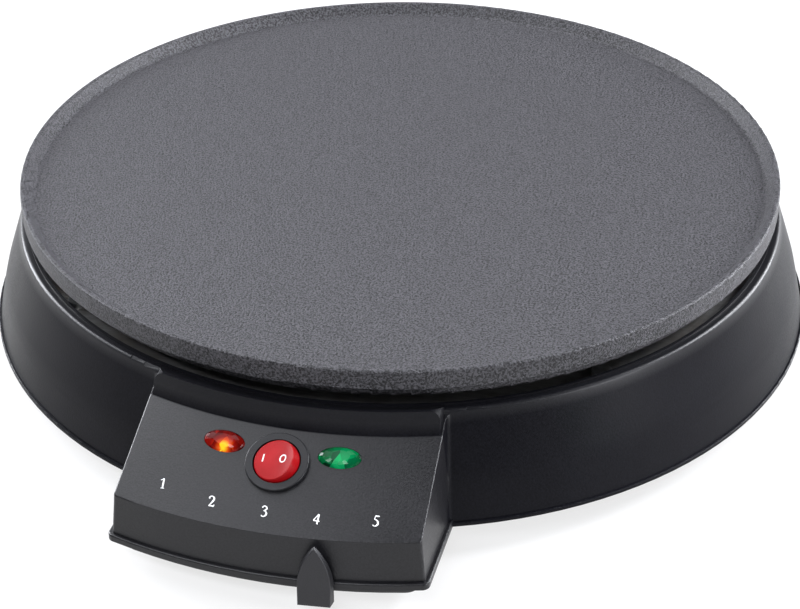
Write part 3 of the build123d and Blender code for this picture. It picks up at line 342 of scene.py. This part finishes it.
print("main finishes made")

zinc = metal("zincPlate", dict(
    streaks=400.0, dark=(0.42, 0.43, 0.44), light=(0.62, 0.63, 0.64), stainColour=(0.4, 0.38, 0.34),
    smooth=0.25, rough=0.45, depth=0.00004))
sheetSteel = metal("aluminisedSheet", dict(
    streaks=120.0, stretch=(1, 14, 14), dark=(0.28, 0.28, 0.28), light=(0.42, 0.42, 0.41),
    stainColour=(0.12, 0.1, 0.08), stain=0.8, smooth=0.42, rough=0.65, depth=0.00004))
stripSteel = metal("springStrip", dict(
    streaks=180.0, stretch=(1, 10, 10), dark=(0.36, 0.36, 0.37), light=(0.55, 0.55, 0.56),
    stainColour=(0.2, 0.18, 0.2), smooth=0.28, rough=0.46, depth=0.00003))
leverSteel = metal("leverStrip", dict(
    streaks=160.0, stretch=(8, 1, 8), dark=(0.38, 0.38, 0.39), light=(0.58, 0.58, 0.59),
    stainColour=(0.34, 0.3, 0.22), smooth=0.3, rough=0.5, depth=0.00004))
darkSheath = metal("heatDarkenedSheath", dict(
    streaks=260.0, dark=(0.07, 0.065, 0.06), light=(0.16, 0.15, 0.14), stainColour=(0.1, 0.06, 0.04),
    stain=0.7, smooth=0.45, rough=0.7, depth=0.00006))
brass = metal("rolledBrass", dict(
    streaks=300.0, stretch=(6, 6, 1), dark=(0.62, 0.44, 0.17), light=(0.8, 0.6, 0.28),
    stainColour=(0.4, 0.24, 0.1), smooth=0.24, rough=0.42, depth=0.00003))
drawnCase = metal("drawnFuseCase", dict(
    streaks=240.0, stretch=(10, 1, 10), dark=(0.55, 0.5, 0.38), light=(0.72, 0.66, 0.52),
    stainColour=(0.4, 0.34, 0.24), smooth=0.22, rough=0.4, depth=0.00002))
whiteCeramic = dull("whiteCeramic", dict(
    mottle=700.0, pits=1800.0, dark=(0.66, 0.64, 0.58), light=(0.8, 0.78, 0.72),
    smooth=0.5, rough=0.75, depth=0.00005))
creamCeramic = dull("creamCeramic", dict(
    mottle=420.0, pits=1500.0, dark=(0.58, 0.5, 0.38), light=(0.72, 0.66, 0.54),
    smooth=0.5, rough=0.75, depth=0.00006))
footRubber = dull("footRubber", dict(
    mottle=900.0, pits=1600.0, dark=(0.018, 0.018, 0.018), light=(0.034, 0.034, 0.034),
    smooth=0.62, rough=0.85, depth=0.00006))
blockPlastic = dull("whiteBlockPlastic", dict(
    mottle=500.0, pits=2200.0, dark=(0.66, 0.66, 0.62), light=(0.78, 0.78, 0.75),
    smooth=0.4, rough=0.6, depth=0.00002))
holderPlastic = dull("naturalPlastic", dict(
    mottle=600.0, pits=2200.0, dark=(0.55, 0.52, 0.44), light=(0.7, 0.67, 0.6),
    smooth=0.35, rough=0.55, depth=0.00002))
brownLead = dull("brownInsulation", dict(
    mottle=800.0, pits=2500.0, dark=(0.1, 0.035, 0.014), light=(0.17, 0.065, 0.025),
    smooth=0.4, rough=0.6, depth=0.00002))
blueLead = dull("blueInsulation", dict(
    mottle=800.0, pits=2500.0, dark=(0.015, 0.06, 0.26), light=(0.03, 0.1, 0.4),
    smooth=0.4, rough=0.6, depth=0.00002))
whiteLead = dull("whiteInsulation", dict(
    mottle=800.0, pits=2500.0, dark=(0.6, 0.58, 0.52), light=(0.75, 0.73, 0.68),
    smooth=0.4, rough=0.6, depth=0.00002))
whitePrint = dull("whitePadPrint", dict(
    mottle=2600.0, pits=4200.0, dark=(0.66, 0.66, 0.66), light=(0.86, 0.86, 0.86),
    smooth=0.4, rough=0.6, depth=0.00001))


def stripedInsulation(look):
    # green with yellow bands round the wire
    finish = Finish("earthInsulation", Specular_IOR_Level=look["gloss"])
    sockets = {"Vector": finish.place, "Scale": look["bands"]}
    bands = finish.node("ShaderNodeTexWave", {"bands_direction": "DIAGONAL"}, sockets)
    mottle = finish.noise(look["mottle"], detail=3.0)
    tintAndDull(finish, bands > look["greenShare"], finish.sheen(mottle, look), look)
    finish.relief(mottle, look["depth"])
    return finish.material


def lampGlass(look):
    finish = Finish("lampGlass", Transmission_Weight=look["clearness"], IOR=look["bending"])
    haze = finish.noise(look["haze"], detail=3.0)
    tintAndDull(finish, finish.fill(haze), finish.sheen(haze, look), look)
    finish.relief(haze, look["depth"])
    return finish.material


def redRocker(look):
    # polished translucent red, deeper and paler in soft random clouds
    finish = Finish("polishedRed", Specular_IOR_Level=look["gloss"], Coat_Roughness=look["coatRough"])
    clouds = finish.noise(look["clouds"])
    grain = finish.noise(look["grain"], detail=3.0)
    tintAndDull(finish, finish.fill(clouds, look["cloudBand"]), finish.sheen(grain, look), look)
    finish.feed("Coat Weight", finish.span(clouds, *noiseBand, *look["coat"]))
    finish.relief(grain, look["depth"])
    return finish.material


earthLead = stripedInsulation(dict(
    bands=60.0, greenShare=0.62, dark=(0.03, 0.2, 0.035), light=(0.75, 0.6, 0.04), gloss=0.35,
    mottle=800.0, smooth=0.4, rough=0.6, depth=0.00002))
clearGlass = lampGlass(dict(
    clearness=0.7, bending=1.5, haze=300.0, dark=(0.9, 0.55, 0.4), light=(0.97, 0.8, 0.68),
    smooth=0.05, rough=0.2, depth=0.00003))
rockerRed = redRocker(dict(
    clouds=90.0, cloudBand=(0.35, 0.65), grain=1400.0, dark=(0.26, 0.003, 0.005), light=(0.35, 0.007, 0.01),
    gloss=0.1, smooth=0.16, rough=0.26, coat=(0.06, 0.12), coatRough=0.1, depth=0.000012))
print("small finishes made")

# CAD pieces whose shape is right keep it and take one of the finishes
keptPieces = {
    "base_screws": zinc, "rubber_feet": footRubber, "heating_element": darkSheath, "element_ends": whiteCeramic,
    "heat_shield": sheetSteel, "plate_spacers": zinc, "plate_screws": zinc, "shield_screws": zinc,
    "thermostat_bracket": stripSteel, "bracket_screws": zinc, "thermostat_body": creamCeramic,
    "thermostat_blades": brass, "thermostat_spindle": zinc, "lever_screw": zinc, "temperature_lever": leverSteel,
    "switch_contact": brass, "switch_blades": brass, "lamp_holders": holderPlastic, "neon_lamps": clearGlass,
    "terminal_block": blockPlastic, "block_screws": zinc, "thermal_fuse": drawnCase, "fuse_clip": stripSteel,
    "earth_screw": zinc, "live_leads": brownLead, "neutral_lead": blueLead, "earth_lead": earthLead,
    "lamp_leads": whiteLead,
}
for name, material in keptPieces.items():
    nodes[name].data.materials.clear()
    nodes[name].data.materials.append(material)


def addPiece(name, mesh, body):
    piece = bpy.data.objects.new(name, mesh)
    bpy.context.scene.collection.objects.link(piece)
    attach(piece, body)
    return piece


# smooth faces, with hard edges only where the surface turns by more than creaseAngle degrees
shadingLook = dict(creaseAngle=28.0, faceWeight=60, weldGap=0.000002)


def softenShading(shape):
    bmesh.ops.recalc_face_normals(shape, faces=shape.faces)
    for face in shape.faces:
        face.smooth = True
    crease = math.radians(shadingLook["creaseAngle"])
    for edge in shape.edges:
        edge.smooth = len(edge.link_faces) == 2 and edge.calc_face_angle(0.0) < crease


def settleOrder(shape):
    # some operators leave edges and faces in an order that differs from run to run
    shape.verts.index_update()
    count = len(shape.verts)

    def rank(part):
        corners = [vert.index for vert in part.verts]
        return (min(corners) * count + max(corners)) * count ** 2 + sum(corners)

    shape.edges.sort(key=rank)
    shape.faces.sort(key=rank)


def evenNormals(piece):
    # large faces keep their own direction beside small rounds
    weights = piece.modifiers.new("evenNormals", "WEIGHTED_NORMAL")
    weights.keep_sharp = True
    weights.weight = shadingLook["faceWeight"]


def smoothCopy(nodeName, newName, body, material):
    shape = bmesh.new()
    shape.from_mesh(nodes[nodeName].data)
    bmesh.ops.remove_doubles(shape, verts=shape.verts, dist=shadingLook["weldGap"])
    softenShading(shape)
    mesh = bpy.data.meshes.new(newName)
    shape.to_mesh(mesh)
    shape.free()
    mesh.materials.append(material)
    piece = addPiece(newName, mesh, body)
    evenNormals(piece)
    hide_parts(nodeName)


smoothCopy("housing", "housingShell", "base", blackPlastic)
smoothCopy("griddle_plate", "cookingPlate", "base", nonStick)
smoothCopy("base_cover", "bottomCover", "base", coverPlastic)
smoothCopy("lever_knob", "pointerKnob", "lever", panelPlastic)
smoothCopy("switch_body", "switchCollar", "base", switchPlastic)
smoothCopy("switch_rocker", "redRocker", "rocker", rockerRed)
smoothCopy("cord_gland", "cordGland", "base", coverPlastic)
print("large pieces dressed")


# the housing's rounded crest, spun as one smooth band over the moulding
# flat is where its level top begins, lowest where its round ends above a straight tail, start where the panel ends
crestLook = dict(flat=0.1484, centre=(0.1498, 0.0507), round=0.0016, lowest=18.0, segments=10, tail=0.0012,
                 lift=0.00003, thickness=0.0005, start=25.6, steps=360)


def makeCrest(look):
    across, height = look["centre"]
    low = math.radians(look["lowest"])
    opening = (math.pi / 2 - low) / look["segments"]
    outer = look["round"] + look["lift"]
    rows = []
    for size in (outer, outer - look["thickness"]):
        angles = [low + opening * step for step in range(look["segments"] + 1)]
        row = [(across + size * math.cos(angle), height + size * math.sin(angle)) for angle in angles]
        tail = (row[0][0] + look["tail"] * math.sin(low), row[0][1] - look["tail"] * math.cos(low))
        rows.append([tail] + row + [(look["flat"], height + size)])
    bearing = math.radians(look["start"])
    shape = bmesh.new()
    verts = [shape.verts.new((reach * math.sin(bearing), axisY - reach * math.cos(bearing), up))
             for reach, up in rows[0] + rows[1][::-1]]
    edges = [shape.edges.new(pair) for pair in zip(verts, verts[1:] + verts[:1])]
    bmesh.ops.spin(shape, geom=verts + edges, cent=(0, axisY, 0), axis=(0, 0, 1),
                   angle=2 * (math.pi - bearing), steps=look["steps"])
    bmesh.ops.holes_fill(shape, edges=[edge for edge in shape.edges if edge.is_boundary])
    settleOrder(shape)
    softenShading(shape)
    mesh = bpy.data.meshes.new("crestBand")
    shape.to_mesh(mesh)
    shape.free()
    mesh.materials.append(blackPlastic)
    addPiece("crestBand", mesh, "base")


makeCrest(crestLook)
print("crest turned")


# the panel's sloping face, as a surface to lay things on
panelFace = dict(slope=0.5, backReach=0.1589, backHeight=0.0472)


def onFace(bearing, reach, lift):
    # bearing in radians from the middle of the panel, reach and lift in metres
    slope = panelFace["slope"]
    outward = Vector((slope * math.sin(bearing), -slope * math.cos(bearing), 1)).normalized()
    height = panelFace["backHeight"] - slope * (reach - panelFace["backReach"])
    return Vector((reach * math.sin(bearing), axisY - reach * math.cos(bearing), height)) + outward * lift


# each figure is a few pen strokes: across, up, half the stroke's width, in figure heights
figureStrokes = {
    "1": [[(0.10, 0.80, 0.03), (0.30, 0.90, 0.035), (0.40, 0.98, 0.05)],
          [(0.40, 0.97, 0.06), (0.31, 0.50, 0.065), (0.22, 0.03, 0.06)],
          [(0.04, 0.01, 0.025), (0.22, 0.02, 0.035), (0.38, 0.01, 0.025)]],
    "2": [[(0.10, 0.74, 0.06), (0.18, 0.92, 0.04), (0.38, 0.98, 0.04), (0.54, 0.84, 0.07), (0.48, 0.60, 0.07),
           (0.26, 0.32, 0.045), (0.02, 0.04, 0.03)],
          [(0.02, 0.04, 0.035), (0.22, 0.06, 0.065), (0.44, 0.05, 0.06), (0.54, 0.20, 0.025)]],
    "3": [[(0.12, 0.80, 0.045), (0.24, 0.95, 0.035), (0.42, 0.97, 0.05), (0.52, 0.82, 0.065), (0.42, 0.64, 0.05),
           (0.22, 0.54, 0.03)],
          [(0.22, 0.54, 0.03), (0.40, 0.48, 0.05), (0.46, 0.28, 0.07), (0.34, 0.08, 0.06), (0.12, -0.02, 0.035),
           (-0.02, 0.06, 0.055)]],
    "4": [[(0.50, 0.98, 0.035), (0.26, 0.66, 0.035), (0.00, 0.32, 0.035)],
          [(0.00, 0.30, 0.045), (0.28, 0.30, 0.045), (0.56, 0.30, 0.04)],
          [(0.53, 0.97, 0.06), (0.42, 0.50, 0.065), (0.30, 0.01, 0.06)]],
    "5": [[(0.62, 0.99, 0.035), (0.46, 0.95, 0.06), (0.26, 0.94, 0.055)],
          [(0.26, 0.94, 0.035), (0.21, 0.78, 0.03), (0.15, 0.60, 0.03)],
          [(0.15, 0.60, 0.035), (0.34, 0.56, 0.055), (0.45, 0.36, 0.07), (0.36, 0.12, 0.06), (0.14, -0.02, 0.035),
           (-0.03, 0.05, 0.055)]],
}
figureMiddle = (0.26, 0.5)
figureLook = dict(height=0.0039, reach=0.1875, step=5.86, lean=-0.26, thickness=0.00005, pen=1.15, middlePlace=2)
figureNudges = {"1": (0.0, 0.0019), "4": (-0.0009, -0.0006)}
penLook = dict(roundness=2, smoothness=6)


def penStrokes(name, strokes, thickness, width=1.0):
    # strokes drawn as tapering tubes, then made a mesh and pressed flat
    data = bpy.data.curves.new(name, "CURVE")
    data.dimensions = "3D"
    data.bevel_depth = 1.0
    data.bevel_resolution = penLook["roundness"]
    data.resolution_u = penLook["smoothness"]
    data.use_fill_caps = True
    for stroke in strokes:
        spline = data.splines.new("BEZIER")
        spline.bezier_points.add(len(stroke) - 1)
        for point, (across, up, half) in zip(spline.bezier_points, stroke):
            point.co = (across, up, 0)
            point.radius = half * width
            point.handle_left_type = "AUTO"
            point.handle_right_type = "AUTO"
    helper = bpy.data.objects.new(name, data)
    bpy.context.scene.collection.objects.link(helper)
    bpy.context.view_layer.update()
    mesh = bpy.data.meshes.new_from_object(helper)
    mesh.name = name
    bpy.data.objects.remove(helper)
    bpy.data.curves.remove(data)
    shape = bmesh.new()
    shape.from_mesh(mesh)
    tallest = max(vert.co.z for vert in shape.verts)
    bmesh.ops.scale(shape, vec=(1, 1, thickness / tallest), verts=shape.verts)
    bmesh.ops.recalc_face_normals(shape, faces=shape.faces)
    shape.to_mesh(mesh)
    shape.free()
    return mesh


def makeFigures(look):
    # the figures stand parallel, though they follow the panel's curved front
    middleAcross, middleUp = figureMiddle
    for place, (figure, strokes) in enumerate(figureStrokes.items()):
        bearing = math.radians(look["step"] * (place - look["middlePlace"]))
        aside, higher = figureNudges.get(figure, (0.0, 0.0))
        mesh = penStrokes("figure" + figure, strokes, look["thickness"] / look["height"], look["pen"])
        for vert in mesh.vertices:
            x = (vert.co.x - middleAcross + look["lean"] * (vert.co.y - middleUp)) * look["height"] + aside
            y = (vert.co.y - middleUp) * look["height"] + higher
            across = x * math.cos(bearing) + y * math.sin(bearing)
            up = y * math.cos(bearing) - x * math.sin(bearing)
            reach = look["reach"] - up * math.cos(math.atan(panelFace["slope"]))
            vert.co = onFace(bearing + across / look["reach"], reach, vert.co.z * look["height"])
        mesh.materials.append(whitePrint)
        addPiece("figure" + figure, mesh, "base")


makeFigures(figureLook)
print("figures printed")

# rocker marks, laid in its hollowed top, which is tilted about its pivot at rest
switchLook = dict(reach=0.171, tilt=14.0, rise=0.00245, ball=0.0081)
marksLook = dict(height=0.0032, onSide=0.0044, offSide=0.0031, raised=0.0005, thickness=0.00004,
                 bar=0.45, barPen=0.08, ring=(0.34, 0.42), ringPen=0.075, ringStep=45)


def makeMarks(look):
    slope = math.atan(panelFace["slope"])
    tilt = math.radians(switchLook["tilt"])
    hollow = switchLook["ball"] / math.sin(tilt)
    across = Vector((1, 0, 0))
    up = Vector((0, math.cos(slope), math.sin(slope)))
    out = Vector((0, -math.sin(slope), math.cos(slope)))
    pivot = onFace(0.0, switchLook["reach"], 0.0)
    tipAcross = across * math.cos(tilt) + out * math.sin(tilt)
    tipOut = out * math.cos(tilt) - across * math.sin(tilt)
    middle = 0.5  # of a mark's height
    wide, tall = look["ring"]
    angles = [math.radians(angle) for angle in range(0, 361, look["ringStep"])]
    circle = [(wide * math.cos(angle), middle + tall * math.sin(angle), look["ringPen"]) for angle in angles]
    bar = [(0, middle + look["bar"] * end, look["barPen"]) for end in (-1, 0, 1)]
    marks = {"markOn": ([bar], -look["onSide"]), "markOff": ([circle], look["offSide"])}
    for name, (strokes, side) in marks.items():
        mesh = penStrokes(name, strokes, look["thickness"] / look["height"])
        for vert in mesh.vertices:
            sideways = side + vert.co.x * look["height"]
            upward = (vert.co.y - middle) * look["height"] + look["raised"]
            sag = switchLook["rise"] + hollow - math.sqrt(hollow ** 2 - sideways ** 2)
            vert.co = pivot + tipAcross * sideways + up * upward + tipOut * (sag + vert.co.z * look["height"])
        mesh.materials.append(whitePrint)
        addPiece(name, mesh, "rocker")


makeMarks(marksLook)
print("rocker marked")

# lenses: bevelled ovals cut in facets, each with its lamp's light painted on as a glow
lensLook = dict(length=0.015, width=0.0082, proud=0.0017, skirt=0.005, segments=20, side=0.0207, reach=0.1669,
                edge=0.0006, shares=(0.93, 0.78, 0.5), spotLift=0.001)

# what both jewels share
jewelLook = dict(facets=420.0, stretch=(1, 0.6, 1), facetBand=(0.15, 0.85), gloss=0.15, smooth=0.08, rough=0.2,
                 power=1.0)


def jewelGlass(name, ownLook):
    # deep colour, lighter and darker facet by facet as painted light, with the lamp's light painted on as a glow
    # where it stands
    look = {**jewelLook, **ownLook}
    finish = Finish(name, Specular_IOR_Level=look["gloss"], Emission_Strength=look["power"])
    facets = finish.cells(look["facets"], "Color", finish.moved(stretch=look["stretch"]))
    facetLightShare = finish.fill(facets, look["facetBand"])
    tintAndDull(finish, facetLightShare, finish.sheen(facets, look, (0.0, 1.0)), look)
    centre = finish.moved(shift=tuple(-value for value in look["glow"]))
    distance = finish.node("ShaderNodeVectorMath", {"operation": "LENGTH"}, {0: centre}, "Value")
    # painted lamp light, brightest at the lamp, with painted glints facet by facet
    glow = finish.span(distance, 0.0, look["spread"], 1.0, 0.0) + (facetLightShare - 0.5) * look["contrast"]
    finish.feed("Emission Color", finish.ramp(glow, *look["heat"]))
    return finish.material


def makeLens(name, nodeName, side, material):
    # a disc one across, stretched to the oval and drawn up in narrowing steps
    look = lensLook
    shape = bmesh.new()
    ring = bmesh.ops.create_circle(shape, cap_ends=True, segments=look["segments"], radius=0.5)["verts"]
    bmesh.ops.scale(shape, vec=(look["length"], look["width"], 1), verts=ring)
    crown = shape.faces[:]
    rises = (look["skirt"], look["edge"], look["edge"], look["proud"] - 2 * look["edge"])
    for share, rise in zip((1.0, *look["shares"]), rises):
        out = bmesh.ops.extrude_face_region(shape, geom=crown)["geom"]
        crown = [item for item in out if isinstance(item, bmesh.types.BMFace)]
        verts = [item for item in out if isinstance(item, bmesh.types.BMVert)]
        size = max(vert.co.x for vert in verts) * 2 / look["length"]
        bmesh.ops.scale(shape, vec=(share / size, share / size, 1), verts=verts)
        bmesh.ops.translate(shape, vec=(0, 0, rise), verts=verts)
    bmesh.ops.poke(shape, faces=crown)
    settleOrder(shape)
    bmesh.ops.recalc_face_normals(shape, faces=shape.faces)
    bearing = side * math.asin(look["side"] / look["reach"])
    slope = math.atan(panelFace["slope"])
    seat = onFace(bearing, look["reach"], -look["skirt"])
    turn = Matrix.Rotation(bearing, 4, "Z") @ Matrix.Rotation(slope, 4, "X")
    bmesh.ops.transform(shape, matrix=Matrix.Translation(seat) @ turn, verts=shape.verts)
    mesh = bpy.data.meshes.new(name)
    shape.to_mesh(mesh)
    shape.free()
    mesh.materials.append(material)
    piece = addPiece(name, mesh, "base")
    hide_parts(nodeName)


def lampSpot(side, reach):
    return onFace(math.asin(side / lensLook["reach"]), reach, lensLook["spotLift"])


amberGlass = jewelGlass("litAmberLens", dict(
    dark=(0.02, 0.0005, 0.0005), light=(0.1, 0.002, 0.001), glow=lampSpot(-0.0198, 0.1696), spread=0.0055,
    heat=[(0.0, (0.02, 0.0, 0.0)), (0.3, (0.2, 0.003, 0.0)), (0.6, (0.75, 0.09, 0.004)), (0.85, (1.0, 0.72, 0.02))],
    contrast=0.35))
greenGlass = jewelGlass("greenLens", dict(
    dark=(0.0, 0.015, 0.005), light=(0.0, 0.14, 0.035), glow=lampSpot(0.0222, 0.1675), spread=0.008,
    heat=[(0.0, (0.0, 0.004, 0.001)), (0.5, (0.0, 0.08, 0.03)), (1.0, (0.003, 0.26, 0.09))],
    contrast=0.5))
makeLens("amberJewel", "power_lens", -1, amberGlass)
makeLens("greenJewel", "ready_lens", 1, greenGlass)
print("lenses cut")

# a level floor that glows a little, so that it stays pale
floorLook = dict(size=12.0, level=-0.0001, colour=(0.2, 0.2, 0.2), glow=0.74, rough=0.9, gloss=0.1,
                 clouds=3.0, cloudShade=0.99)


def makeFloor(look):
    mesh = bpy.data.meshes.new("floor")
    shape = bmesh.new()
    bmesh.ops.create_grid(shape, x_segments=1, y_segments=1, size=look["size"] / 2)
    bmesh.ops.translate(shape, vec=(0, 0, look["level"]), verts=shape.verts)
    shape.to_mesh(mesh)
    shape.free()
    finish = Finish("paleFloor", Roughness=look["rough"], Specular_IOR_Level=look["gloss"],
                    Emission_Strength=look["glow"], Emission_Color=(1, 1, 1, 1))
    tint = finish.noise(look["clouds"])
    shaded = tuple(value * look["cloudShade"] for value in look["colour"])
    finish.feed("Base Color", finish.blend(tint, shaded, look["colour"]))
    mesh.materials.append(finish.material)
    floor = bpy.data.objects.new("floor", mesh)
    bpy.context.scene.collection.objects.link(floor)


makeFloor(floorLook)
print("floor laid")
